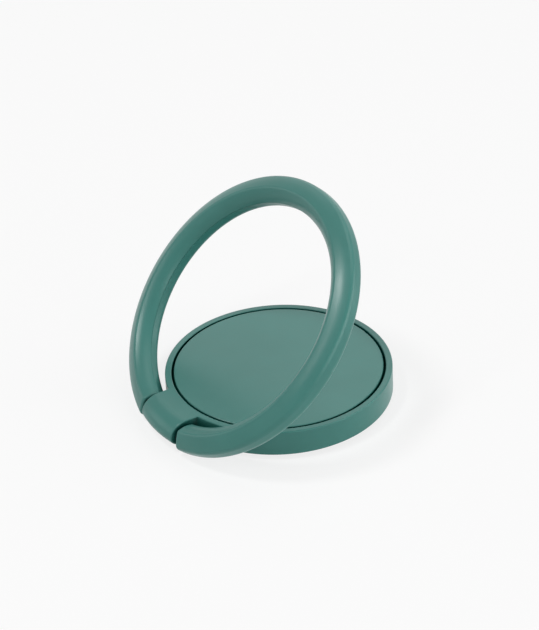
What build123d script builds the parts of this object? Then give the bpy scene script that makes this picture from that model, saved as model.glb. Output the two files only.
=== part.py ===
"""Phone ring holder: a stick-on swivel disc with a finger ring that folds flat around it.

Frame: origin at the centre of the adhesive face, +Z away from the phone, the hinge on the -Y side
with its axis along X. Millimetres.
"""

import os
from math import atan2, cos, degrees, radians, sin, sqrt, tan

from build123d import *

# Driving dimensions
DISC_RADIUS = 15.95
PHONE_GAP = 0.7  # the turning frame clears the phone by this much
FRAME_HEIGHT = 3.8
RING_CLEARANCE = 0.5  # between the folded ring and the disc
RING_WIDTH = 3.96  # section of the finger ring, across the band
KNUCKLE_WIDTH = 8.1
HINGE_GAP = 0.5  # between the knuckle and each end of the ring
HINGE_RISE = 1.58  # hinge axis above the underside of the frame
RING_RAISED_DEG = 46.5  # 0 is folded flat around the disc

# Levels of the stack, from the phone up
PAD_THICKNESS = 0.8
PLATE_THICKNESS = 0.8
GLIDE_THICKNESS = 0.2
WEB_THICKNESS = 0.9
FILM_THICKNESS = 0.1
INLAY_THICKNESS = 1.0
PLATE_TOP = PAD_THICKNESS + PLATE_THICKNESS
WEB_BOTTOM = PLATE_TOP + GLIDE_THICKNESS
WEB_TOP = WEB_BOTTOM + WEB_THICKNESS
FRAME_BOTTOM = PHONE_GAP
FRAME_TOP = FRAME_BOTTOM + FRAME_HEIGHT
INLAY_BOTTOM = FRAME_TOP - INLAY_THICKNESS
LEDGE_LEVEL = INLAY_BOTTOM - FILM_THICKNESS

# Radii about the swivel axis
GROOVE_WIDTH = 0.34  # the dark line between the inlay and the rim
RIM_WIDTH = 0.92
RECESS_RADIUS = DISC_RADIUS - RIM_WIDTH
INLAY_RADIUS = RECESS_RADIUS - GROOVE_WIDTH
LEDGE_INNER_RADIUS = 12.4
FILM_MARGIN = 0.3  # the film stops short of the ledge's edges
UNDERSIDE_RADIUS = 14.4
PLATE_RADIUS = 14.0
PAD_RADIUS = 13.6
GLIDE_INNER_RADIUS = 5.5
GLIDE_OUTER_RADIUS = 13.2

# Pivot of the swivel
SHANK_RADIUS = 2.4
SHANK_CLEARANCE = 0.05
RIVET_HEAD_RADIUS = 3.6
RIVET_HEAD_HEIGHT = 0.35
SPRING_OUTER_RADIUS = 5.4
SPRING_STOCK = 0.15
SPRING_RISE = 0.12
RETAINER_RADIUS = 4.6
RETAINER_THICKNESS = 0.2
PEEN_RADIUS = 3.3
PEEN_HEIGHT = 0.12
RETAINER_BOTTOM = WEB_TOP + SPRING_STOCK + SPRING_RISE
RETAINER_TOP = RETAINER_BOTTOM + RETAINER_THICKNESS

# Finger ring and hinge
RING_INNER_RADIUS = DISC_RADIUS + RING_CLEARANCE
RING_CENTRE_RADIUS = RING_INNER_RADIUS + RING_WIDTH / 2
RING_CROWN = 1.9  # from the hinge axis up to the ridge of the band
RING_DEPTH = 1.65  # from the hinge axis down to the flat on the phone side
RING_CORNER = 1.0
RIDGE_RADIUS = 0.5
SLOPE_RADIUS = 6.0  # the slope outside the ridge is slightly bowed
SLOPE_TOP_DEG = 70  # at the ridge the slope faces this far up from level
SHOULDER_RADIUS = 0.85  # between the slope and the outer wall
EDGE_RISE = 0.25  # the edge round the inside of the band, above the hinge axis
FLARE_DEG = 24  # the inside leans back this far from upright just above that edge
FLARE_RADIUS = 3.3
SEAM_SIZE = 0.12  # width of the parting line along that edge, twice its depth
KNUCKLE_RADIUS = 20.2  # the tip of the knuckle's nose
KNUCKLE_NOSE = 2.6  # radial length of the nose's rounding
RING_END = KNUCKLE_WIDTH / 2 + HINGE_GAP
END_SPLAY_DEG = 7  # each ring end leans this far from square to the hinge, open to the outside
HINGE_Y = -sqrt(RING_CENTRE_RADIUS**2 - RING_END**2)
HINGE_Z = FRAME_BOTTOM + HINGE_RISE
HINGE_AXIS = Axis((0, HINGE_Y, HINGE_Z), (1, 0, 0))
PIN_RADIUS = 0.75
PIN_CLEARANCE = 0.03
PIN_IN_RING = 2.6  # how far each pin end reaches into the ring
PIN_END_PLAY = 0.3
WASHER_RADIUS = 1.2
WASHER_STOCK = 0.27
WASHER_RISE = 0.2
SEAT_RADIUS = 1.35  # flat for the washer in each ring end

# Edge radii
OUTER_EDGE = 0.18
FINE_EDGE = 0.12
RING_END_EDGE = 0.45
NECK_FILLET = 0.2


def disc(radius, bottom, top):
    """A flat round disc between two levels."""
    return Pos(0, 0, bottom) * extrude(Circle(radius), top - bottom)


def annulus(inner, outer, bottom, top):
    """A flat washer between two levels."""
    return Pos(0, 0, bottom) * extrude(Circle(outer) - Circle(inner), top - bottom)


def cone_washer(inner, outer, stock, rise):
    """A conical spring washer about Z, standing on its outer rim at Z = 0."""
    section = Polyline((inner, rise), (outer, 0), (outer, stock), (inner, rise + stock), close=True)
    return revolve(Plane.XZ * make_face(section), Axis.Z)


def along_hinge(radius, half_length):
    """A round bar on the hinge axis, centred on the middle of the knuckle."""
    return Pos(0, HINGE_Y, HINGE_Z) * Rot(0, 90, 0) * Cylinder(radius, 2 * half_length)


def adhesive_pad():
    return disc(PAD_RADIUS, 0, PAD_THICKNESS)


def base_plate():
    """The steel plate that the pad holds to the phone, counterbored below for the rivet's head."""
    plate = disc(PLATE_RADIUS, PAD_THICKNESS, PLATE_TOP)
    plate = chamfer(plate.edges().group_by(Axis.Z)[-1], FINE_EDGE)
    plate -= disc(SHANK_RADIUS, PAD_THICKNESS, PLATE_TOP)
    return plate - disc(RIVET_HEAD_RADIUS, PAD_THICKNESS, PAD_THICKNESS + RIVET_HEAD_HEIGHT)


def glide_washer():
    return annulus(GLIDE_INNER_RADIUS, GLIDE_OUTER_RADIUS, PLATE_TOP, WEB_BOTTOM)


def swivel_spring():
    return Pos(0, 0, WEB_TOP) * cone_washer(SHANK_RADIUS, SPRING_OUTER_RADIUS, SPRING_STOCK, SPRING_RISE)


def retaining_washer():
    return annulus(SHANK_RADIUS, RETAINER_RADIUS, RETAINER_BOTTOM, RETAINER_TOP)


def pivot_rivet():
    """Flush head under the base plate, shank through the web, peened over the retaining washer."""
    rivet = disc(RIVET_HEAD_RADIUS, PAD_THICKNESS, PAD_THICKNESS + RIVET_HEAD_HEIGHT)
    rivet += disc(SHANK_RADIUS, PAD_THICKNESS, RETAINER_TOP)
    peen = disc(PEEN_RADIUS, RETAINER_TOP, RETAINER_TOP + PEEN_HEIGHT)
    return rivet + chamfer(peen.edges().group_by(Axis.Z)[-1], PEEN_HEIGHT / 2)


def knuckle():
    """The lug that carries the hinge: flush with the rim on top and rounded over at its nose."""
    inboard = DISC_RADIUS - RIM_WIDTH / 2
    flat_end = KNUCKLE_RADIUS - KNUCKLE_NOSE
    section = Curve() + [
        Line((inboard, FRAME_BOTTOM), (flat_end, FRAME_BOTTOM)),
        EllipticalCenterArc((flat_end, HINGE_Z), KNUCKLE_NOSE, HINGE_RISE, -90, arc_size=90),
        EllipticalCenterArc((flat_end, HINGE_Z), KNUCKLE_NOSE, FRAME_TOP - HINGE_Z, 0, arc_size=90),
        Line((flat_end, FRAME_TOP), (inboard, FRAME_TOP)),
        Line((inboard, FRAME_TOP), (inboard, FRAME_BOTTOM)),
    ]
    band = revolve(Plane.XZ * make_face(section), Axis.Z)
    slab = Pos(0, -KNUCKLE_RADIUS, HINGE_Z) * Box(KNUCKLE_WIDTH, KNUCKLE_RADIUS, 2 * FRAME_HEIGHT)
    return band & slab


def swivel_frame():
    """The turning body: rim, web and hinge knuckle in one casting."""
    frame = disc(DISC_RADIUS, FRAME_BOTTOM, FRAME_TOP) + knuckle()
    side = KNUCKLE_WIDTH / 2
    neck = [e for e in frame.edges().filter_by(Axis.Z) if abs(abs(e.center().X) - side) < FINE_EDGE]
    frame = fillet(neck, NECK_FILLET)
    level = frame.edges() - frame.edges().filter_by(Axis.Z)
    outline = [e for e in level if abs(e.center().X) > FINE_EDGE or e.center().Y > 0]
    frame = fillet(outline, OUTER_EDGE)
    frame -= disc(RECESS_RADIUS, LEDGE_LEVEL, FRAME_TOP)
    circles = frame.edges().filter_by(GeomType.CIRCLE)
    recess = circles.filter_by(lambda e: abs(e.radius - RECESS_RADIUS) < FINE_EDGE)
    frame = fillet(recess.sort_by(Axis.Z)[-1], FINE_EDGE)
    frame -= disc(LEDGE_INNER_RADIUS, WEB_TOP, FRAME_TOP)
    frame -= disc(UNDERSIDE_RADIUS, FRAME_BOTTOM, WEB_BOTTOM)
    frame -= disc(SHANK_RADIUS + SHANK_CLEARANCE, WEB_BOTTOM, WEB_TOP)
    return frame - along_hinge(PIN_RADIUS, side)


def inlay_film():
    return annulus(LEDGE_INNER_RADIUS + FILM_MARGIN, INLAY_RADIUS - FILM_MARGIN, LEDGE_LEVEL, INLAY_BOTTOM)


def inlay_plate():
    plate = disc(INLAY_RADIUS, INLAY_BOTTOM, FRAME_TOP)
    return fillet(plate.edges().group_by(Axis.Z)[-1], FINE_EDGE)


def ring_section():
    """The band's section in the radius-height plane, drawn about the hinge axis.

    The inside is upright from the phone side to an edge, then flares in an arc up to a soft ridge.
    The outside falls from the ridge in a bowed slope. The phone side is flat.
    """
    half = RING_WIDTH / 2
    side = half - RING_CORNER
    bend = RING_CORNER - RING_DEPTH
    slope_top = radians(SLOPE_TOP_DEG)
    lean = radians(FLARE_DEG)
    flare_x = FLARE_RADIUS * cos(lean) - half
    flare_y = EDGE_RISE - FLARE_RADIUS * sin(lean)
    ridge_y = RING_CROWN - RIDGE_RADIUS
    ridge_x = flare_x - sqrt((FLARE_RADIUS - RIDGE_RADIUS) ** 2 - (ridge_y - flare_y) ** 2)
    flare_top = degrees(atan2(ridge_y - flare_y, ridge_x - flare_x))
    slope_x = ridge_x - (SLOPE_RADIUS - RIDGE_RADIUS) * cos(slope_top)
    slope_y = ridge_y - (SLOPE_RADIUS - RIDGE_RADIUS) * sin(slope_top)
    shoulder_x = half - SHOULDER_RADIUS
    shoulder_y = slope_y + sqrt((SLOPE_RADIUS - SHOULDER_RADIUS) ** 2 - (shoulder_x - slope_x) ** 2)
    slope_foot = degrees(atan2(shoulder_y - slope_y, shoulder_x - slope_x))
    shoulder = CenterArc((shoulder_x, shoulder_y), SHOULDER_RADIUS, 0, slope_foot)
    slope = CenterArc((slope_x, slope_y), SLOPE_RADIUS, slope_foot, SLOPE_TOP_DEG - slope_foot)
    ridge = CenterArc((ridge_x, ridge_y), RIDGE_RADIUS, SLOPE_TOP_DEG, flare_top - SLOPE_TOP_DEG)
    flare = CenterArc((flare_x, flare_y), FLARE_RADIUS, flare_top, 180 - FLARE_DEG - flare_top)
    inner_corner = CenterArc((-side, bend), RING_CORNER, 180, 90)
    outer_corner = CenterArc((side, bend), RING_CORNER, 270, 90)
    section = Curve() + [
        shoulder,
        slope,
        ridge,
        flare,
        Line(flare @ 1, inner_corner @ 0),
        inner_corner,
        Line(inner_corner @ 1, outer_corner @ 0),
        outer_corner,
        Line(outer_corner @ 1, shoulder @ 0),
    ]
    return Pos(RING_CENTRE_RADIUS, HINGE_Z) * make_face(section)


def ring_seam():
    """The fine V that the parting line leaves along the edge inside the band."""
    level = HINGE_Z + EDGE_RISE
    mouth = RING_INNER_RADIUS - SEAM_SIZE / 2
    root = RING_INNER_RADIUS + SEAM_SIZE / 2
    notch = Polyline((mouth, level - SEAM_SIZE), (root, level), (mouth, level + SEAM_SIZE), close=True)
    return revolve(Plane.XZ * make_face(notch), Axis.Z)


def ring_gap():
    """What the band lacks for the knuckle: a wedge, wider towards the outside."""
    reach = RING_WIDTH
    splay = reach * tan(radians(END_SPLAY_DEG))
    outside = RING_END + splay
    inside = RING_END - splay
    outline = Polyline(
        (-outside, HINGE_Y - reach),
        (outside, HINGE_Y - reach),
        (inside, HINGE_Y + reach),
        (-inside, HINGE_Y + reach),
        close=True,
    )
    return Pos(0, 0, FRAME_BOTTOM - FRAME_HEIGHT) * extrude(make_face(outline), 3 * FRAME_HEIGHT)


def finger_ring():
    """An open band whose two ends carry the hinge pin in blind holes, shown raised."""
    band = revolve(Plane.XZ * ring_section(), Axis.Z) - ring_gap()
    ends = [f for f in band.faces().filter_by(GeomType.PLANE) if abs(f.normal_at().Z) < FINE_EDGE]
    band = fillet([e for f in ends for e in f.edges()], RING_END_EDGE)
    band -= ring_seam()
    band -= along_hinge(SEAT_RADIUS, RING_END)
    band -= along_hinge(PIN_RADIUS + PIN_CLEARANCE, RING_END + PIN_IN_RING + PIN_END_PLAY)
    return band.rotate(HINGE_AXIS, RING_RAISED_DEG)


def hinge_pin():
    pin = along_hinge(PIN_RADIUS, RING_END + PIN_IN_RING)
    return chamfer(pin.edges().filter_by(GeomType.CIRCLE), FINE_EDGE)


def hinge_washer(side):
    """A conical spring washer in the hinge gap on one side, -1 or 1: it holds the ring where it is put."""
    washer = cone_washer(PIN_RADIUS + PIN_CLEARANCE, WASHER_RADIUS, WASHER_STOCK, WASHER_RISE)
    return Pos(side * KNUCKLE_WIDTH / 2, HINGE_Y, HINGE_Z) * Rot(0, side * 90, 0) * washer


def main():
    os.makedirs("parts", exist_ok=True)
    parts = {
        "adhesive_pad": adhesive_pad(),
        "base_plate": base_plate(),
        "glide_washer": glide_washer(),
        "swivel_spring": swivel_spring(),
        "retaining_washer": retaining_washer(),
        "pivot_rivet": pivot_rivet(),
        "swivel_frame": swivel_frame(),
        "inlay_film": inlay_film(),
        "inlay_plate": inlay_plate(),
        "hinge_pin": hinge_pin(),
        "left_hinge_washer": hinge_washer(-1),
        "right_hinge_washer": hinge_washer(1),
        "finger_ring": finger_ring(),
    }
    for name, shape in parts.items():
        export_step(shape, f"parts/{name}.step")


main()
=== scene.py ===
"""Looks of the phone ring holder: finishes, floor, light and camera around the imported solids."""

import bpy
from math import cos, radians, sin
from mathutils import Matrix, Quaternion, Vector

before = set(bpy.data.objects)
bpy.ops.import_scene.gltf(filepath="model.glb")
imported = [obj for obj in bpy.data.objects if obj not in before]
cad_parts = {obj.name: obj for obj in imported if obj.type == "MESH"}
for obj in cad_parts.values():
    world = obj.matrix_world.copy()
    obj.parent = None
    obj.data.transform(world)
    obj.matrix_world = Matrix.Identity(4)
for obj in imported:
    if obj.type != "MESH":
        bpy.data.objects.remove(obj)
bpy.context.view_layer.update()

MM = 0.001

# Camera, fitted to the outlines of the object
CAMERA_AZIMUTH = radians(60.619)
CAMERA_ELEVATION = radians(33.112)
CAMERA_ROLL = radians(-3.022)
CAMERA_DISTANCE = 400 * MM
CAMERA_AIM = Vector((-2.151, 0.188, 11.854)) * MM
CAMERA_LENS = 164.274
CAMERA_SENSOR = 36.0

# Finishes
TEAL = (0.047, 0.193, 0.168)
TEAL_PALE = (0.052, 0.207, 0.181)
# Painted shade: the colour the teal coat darkens to in narrow gaps, standing in for shade
TEAL_PAINTED_SHADE = (0.002, 0.075, 0.060)
STEEL = (0.52, 0.53, 0.54)
SPRING_STEEL = (0.16, 0.16, 0.17)
NYLON = (0.78, 0.77, 0.72)
FILM = (0.70, 0.70, 0.68)
FOAM = (0.018, 0.018, 0.020)
FOAM_PALE = (0.030, 0.030, 0.032)
FLOOR_WHITE = (0.9, 0.9, 0.9)

# Light: name, azimuth and elevation in degrees, width and height in metres, watts
SOFTBOX_DISTANCE = 0.6
SOFTBOXES = [
    ("key", 347, 68, 0.10, 0.10, 1.2),
    ("front_strip", 11, 50, 0.05, 0.38, 0.6),
    ("front_low", 10, 14, 0.3, 0.25, 0.1),
    ("front_left_low", 320, 16, 0.4, 0.3, 0.4),
    ("left", 234, 35, 0.4, 0.4, 0.4),
    ("right", 100, 15, 0.5, 0.28, 1.2),
    ("back_right", 142, 15, 0.5, 0.28, 1.3),
    ("back_top", 180, 62, 0.4, 0.4, 0.75),
]


class Shader:
    """A material's node tree, with short calls to add nodes and wire them."""

    def __init__(self, name):
        self.material = bpy.data.materials.new(name)
        self.material.use_nodes = True
        self.nodes = self.material.node_tree.nodes
        self.links = self.material.node_tree.links
        self.surface = self.nodes["Principled BSDF"]
        self.place = self.nodes.new("ShaderNodeTexCoord").outputs["Object"]

    def noise(self, size, detail, stretch=(1, 1, 1)):
        """Noise with features of about this size in metres."""
        mapping = self.nodes.new("ShaderNodeMapping")
        mapping.inputs["Scale"].default_value = stretch
        self.links.new(self.place, mapping.inputs["Vector"])
        noise = self.nodes.new("ShaderNodeTexNoise")
        noise.inputs["Scale"].default_value = 1 / size
        noise.inputs["Detail"].default_value = detail
        self.links.new(mapping.outputs["Vector"], noise.inputs["Vector"])
        return noise.outputs["Fac"]

    def tint(self, fac, dark, pale):
        """Base colour that wanders between two tones."""
        ramp = self.nodes.new("ShaderNodeValToRGB")
        ramp.color_ramp.elements[0].position = 0.3
        ramp.color_ramp.elements[0].color = (*dark, 1)
        ramp.color_ramp.elements[1].position = 0.7
        ramp.color_ramp.elements[1].color = (*pale, 1)
        self.links.new(fac, ramp.inputs["Fac"])
        self.links.new(ramp.outputs["Color"], self.surface.inputs["Base Color"])

    def spread(self, fac, low, high, start=0.3, end=0.7):
        """Maps the values from start to end onto those from low to high."""
        spread = self.nodes.new("ShaderNodeMapRange")
        spread.inputs["From Min"].default_value = start
        spread.inputs["From Max"].default_value = end
        spread.inputs["To Min"].default_value = low
        spread.inputs["To Max"].default_value = high
        self.links.new(fac, spread.inputs["Value"])
        return spread.outputs["Result"]

    def roughness(self, fac, low, high):
        """Roughness that wanders between two values."""
        self.links.new(self.spread(fac, low, high), self.surface.inputs["Roughness"])

    def paint_gap_shade(self, reach, shade_colour):
        """Painted shade: base colour that darkens towards the shade colour, and gloss that fades, where
        other surfaces lie within this reach.
        """
        hollow = self.nodes.new("ShaderNodeAmbientOcclusion")
        hollow.inputs["Distance"].default_value = reach
        openness = hollow.outputs["AO"]
        # Painted shade: the base colour is mixed towards the shade colour where the occlusion value is
        # low
        shade_blend = self.nodes.new("ShaderNodeMixRGB")
        shade_blend.inputs["Color1"].default_value = (*shade_colour, 1)
        base = self.surface.inputs["Base Color"]
        self.links.new(base.links[0].from_socket, shade_blend.inputs["Color2"])
        self.links.new(self.spread(openness, 0, 1, start=0.3, end=0.85), shade_blend.inputs["Fac"])
        self.links.new(shade_blend.outputs["Color"], base)
        # Painted shade on the reflections: the gloss level fades in the same gaps
        gloss = self.spread(openness, 0, 0.5, start=0.3, end=0.85)
        self.links.new(gloss, self.surface.inputs["Specular IOR Level"])

    def bump(self, height, depth, strength):
        """Fine relief of this depth in metres."""
        bump = self.nodes.new("ShaderNodeBump")
        bump.inputs["Distance"].default_value = depth
        bump.inputs["Strength"].default_value = strength
        self.links.new(height, bump.inputs["Height"])
        self.links.new(bump.outputs["Normal"], self.surface.inputs["Normal"])

    def set(self, **values):
        """Values that are the same all over the surface."""
        for socket, value in values.items():
            self.surface.inputs[socket.replace("_", " ")].default_value = value


def teal_coat():
    """Satin paint: faint cloudiness, the fine grain of a sprayed coat, and painted shade that darkens the
    colour and dims the gloss in narrow gaps.
    """
    coat = Shader("teal_coat")
    coat.tint(coat.noise(6 * MM, 3), TEAL, TEAL_PALE)
    # Painted shade: the coat darkens where other surfaces lie within 1.2 mm
    coat.paint_gap_shade(1.2 * MM, TEAL_PAINTED_SHADE)
    coat.roughness(coat.noise(1.5 * MM, 2), 0.285, 0.325)
    coat.bump(coat.noise(0.12 * MM, 2), 0.004 * MM, 0.5)
    coat.set(IOR=1.38)
    return coat.material


def brushed_steel(name, colour):
    """Pressed steel with fine streaks along X."""
    steel = Shader(name)
    streaks = steel.noise(0.2 * MM, 3, stretch=(0.05, 1, 1))
    steel.tint(streaks, [0.85 * c for c in colour], colour)
    steel.roughness(streaks, 0.28, 0.42)
    steel.bump(streaks, 0.003 * MM, 0.4)
    steel.set(Metallic=1.0)
    return steel.material


def plain_plastic(name, colour):
    """Unpainted sheet plastic with a soft sheen."""
    plastic = Shader(name)
    plastic.tint(plastic.noise(2 * MM, 2), [0.94 * c for c in colour], colour)
    plastic.roughness(plastic.noise(0.4 * MM, 2), 0.45, 0.58)
    plastic.bump(plastic.noise(0.1 * MM, 2), 0.003 * MM, 0.4)
    return plastic.material


def foam_tape():
    """Black acrylic foam with fine closed cells."""
    foam = Shader("foam_tape")
    cells = foam.noise(0.18 * MM, 4)
    foam.tint(cells, FOAM, FOAM_PALE)
    foam.roughness(foam.noise(1 * MM, 2), 0.62, 0.8)
    foam.bump(cells, 0.03 * MM, 0.6)
    return foam.material


def dress_nodes():
    """Gives every solid its finish."""
    teal = teal_coat()
    steel = brushed_steel("plate_steel", STEEL)
    spring = brushed_steel("spring_steel", SPRING_STEEL)
    finishes = {
        "swivel_frame": teal,
        "inlay_plate": teal,
        "finger_ring": teal,
        "base_plate": steel,
        "pivot_rivet": steel,
        "retaining_washer": steel,
        "hinge_pin": steel,
        "swivel_spring": spring,
        "left_hinge_washer": spring,
        "right_hinge_washer": spring,
        "glide_washer": plain_plastic("nylon", NYLON),
        "inlay_film": plain_plastic("bonding_film", FILM),
        "adhesive_pad": foam_tape(),
    }
    for node, material in finishes.items():
        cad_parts[node].data.materials[0] = material


def add_camera():
    """A camera that looks at the aim point from the fitted direction."""
    back = Vector((
        sin(CAMERA_AZIMUTH) * cos(CAMERA_ELEVATION),
        -cos(CAMERA_AZIMUTH) * cos(CAMERA_ELEVATION),
        sin(CAMERA_ELEVATION),
    ))
    data = bpy.data.cameras.new("camera")
    data.lens = CAMERA_LENS
    data.sensor_width = CAMERA_SENSOR
    camera = bpy.data.objects.new("camera", data)
    camera.location = CAMERA_AIM + back * CAMERA_DISTANCE
    camera.rotation_mode = "QUATERNION"
    upright = (-back).to_track_quat("-Z", "Y")
    camera.rotation_quaternion = upright @ Quaternion((0, 0, 1), CAMERA_ROLL)
    bpy.context.scene.collection.objects.link(camera)
    bpy.context.scene.camera = camera


def seeing_rays(nodes, links):
    """1 for rays that show a surface to the eye, straight or by reflection, and 0 for rays that light."""
    rays = nodes.new("ShaderNodeLightPath")
    total = rays.outputs["Is Camera Ray"]
    for kind in ("Is Glossy Ray", "Is Transmission Ray"):
        either = nodes.new("ShaderNodeMath")
        either.operation = "MAXIMUM"
        links.new(total, either.inputs[0])
        links.new(rays.outputs[kind], either.inputs[1])
        total = either.outputs[0]
    return total


def add_floor():
    """A plain white floor a hair under the pad. It shows white to the eye and keeps a soft shadow."""
    size = 3.0
    level = -0.05 * MM
    mesh = bpy.data.meshes.new("floor")
    corners = [(-size, -size, level), (size, -size, level), (size, size, level), (-size, size, level)]
    mesh.from_pydata(corners, [], [(0, 1, 2, 3)])
    floor = bpy.data.objects.new("floor", mesh)
    bpy.context.scene.collection.objects.link(floor)
    paint = Shader("floor_white")
    paint.set(Base_Color=(*FLOOR_WHITE, 1), Roughness=0.9)
    glow = paint.nodes.new("ShaderNodeEmission")
    mix = paint.nodes.new("ShaderNodeMixShader")
    share = paint.nodes.new("ShaderNodeMath")
    share.operation = "MULTIPLY"
    share.inputs[1].default_value = 0.8
    paint.links.new(seeing_rays(paint.nodes, paint.links), share.inputs[0])
    paint.links.new(share.outputs[0], mix.inputs[0])
    paint.links.new(paint.surface.outputs["BSDF"], mix.inputs[1])
    paint.links.new(glow.outputs["Emission"], mix.inputs[2])
    paint.links.new(mix.outputs[0], paint.nodes["Material Output"].inputs["Surface"])
    mesh.materials.append(paint.material)


def add_world():
    """Plain surroundings: white to the eye, with nearly all light left to the softboxes."""
    world = bpy.data.worlds.new("studio")
    world.use_nodes = True
    nodes = world.node_tree.nodes
    links = world.node_tree.links
    light = nodes["Background"]
    light.inputs["Color"].default_value = (1, 1, 1, 1)
    light.inputs["Strength"].default_value = 0.02
    white = nodes.new("ShaderNodeBackground")
    white.inputs["Color"].default_value = (1, 1, 1, 1)
    mix = nodes.new("ShaderNodeMixShader")
    links.new(seeing_rays(nodes, links), mix.inputs[0])
    links.new(light.outputs[0], mix.inputs[1])
    links.new(white.outputs[0], mix.inputs[2])
    links.new(mix.outputs[0], nodes["World Output"].inputs["Surface"])
    bpy.context.scene.world = world


def add_softbox(name, azimuth, elevation, width, height, power):
    """A rectangular area light aimed at the middle of the object."""
    data = bpy.data.lights.new(name, "AREA")
    data.shape = "RECTANGLE"
    data.size = width
    data.size_y = height
    data.energy = power
    lamp = bpy.data.objects.new(name, data)
    a = radians(azimuth)
    e = radians(elevation)
    away = Vector((sin(a) * cos(e), -cos(a) * cos(e), sin(e)))
    lamp.location = CAMERA_AIM + away * SOFTBOX_DISTANCE
    lamp.rotation_mode = "QUATERNION"
    lamp.rotation_quaternion = (-away).to_track_quat("-Z", "Y")
    bpy.context.scene.collection.objects.link(lamp)


dress_nodes()
add_camera()
add_floor()
add_world()
for softbox in SOFTBOXES:
    add_softbox(*softbox)
bpy.context.scene.view_settings.view_transform = "Standard"
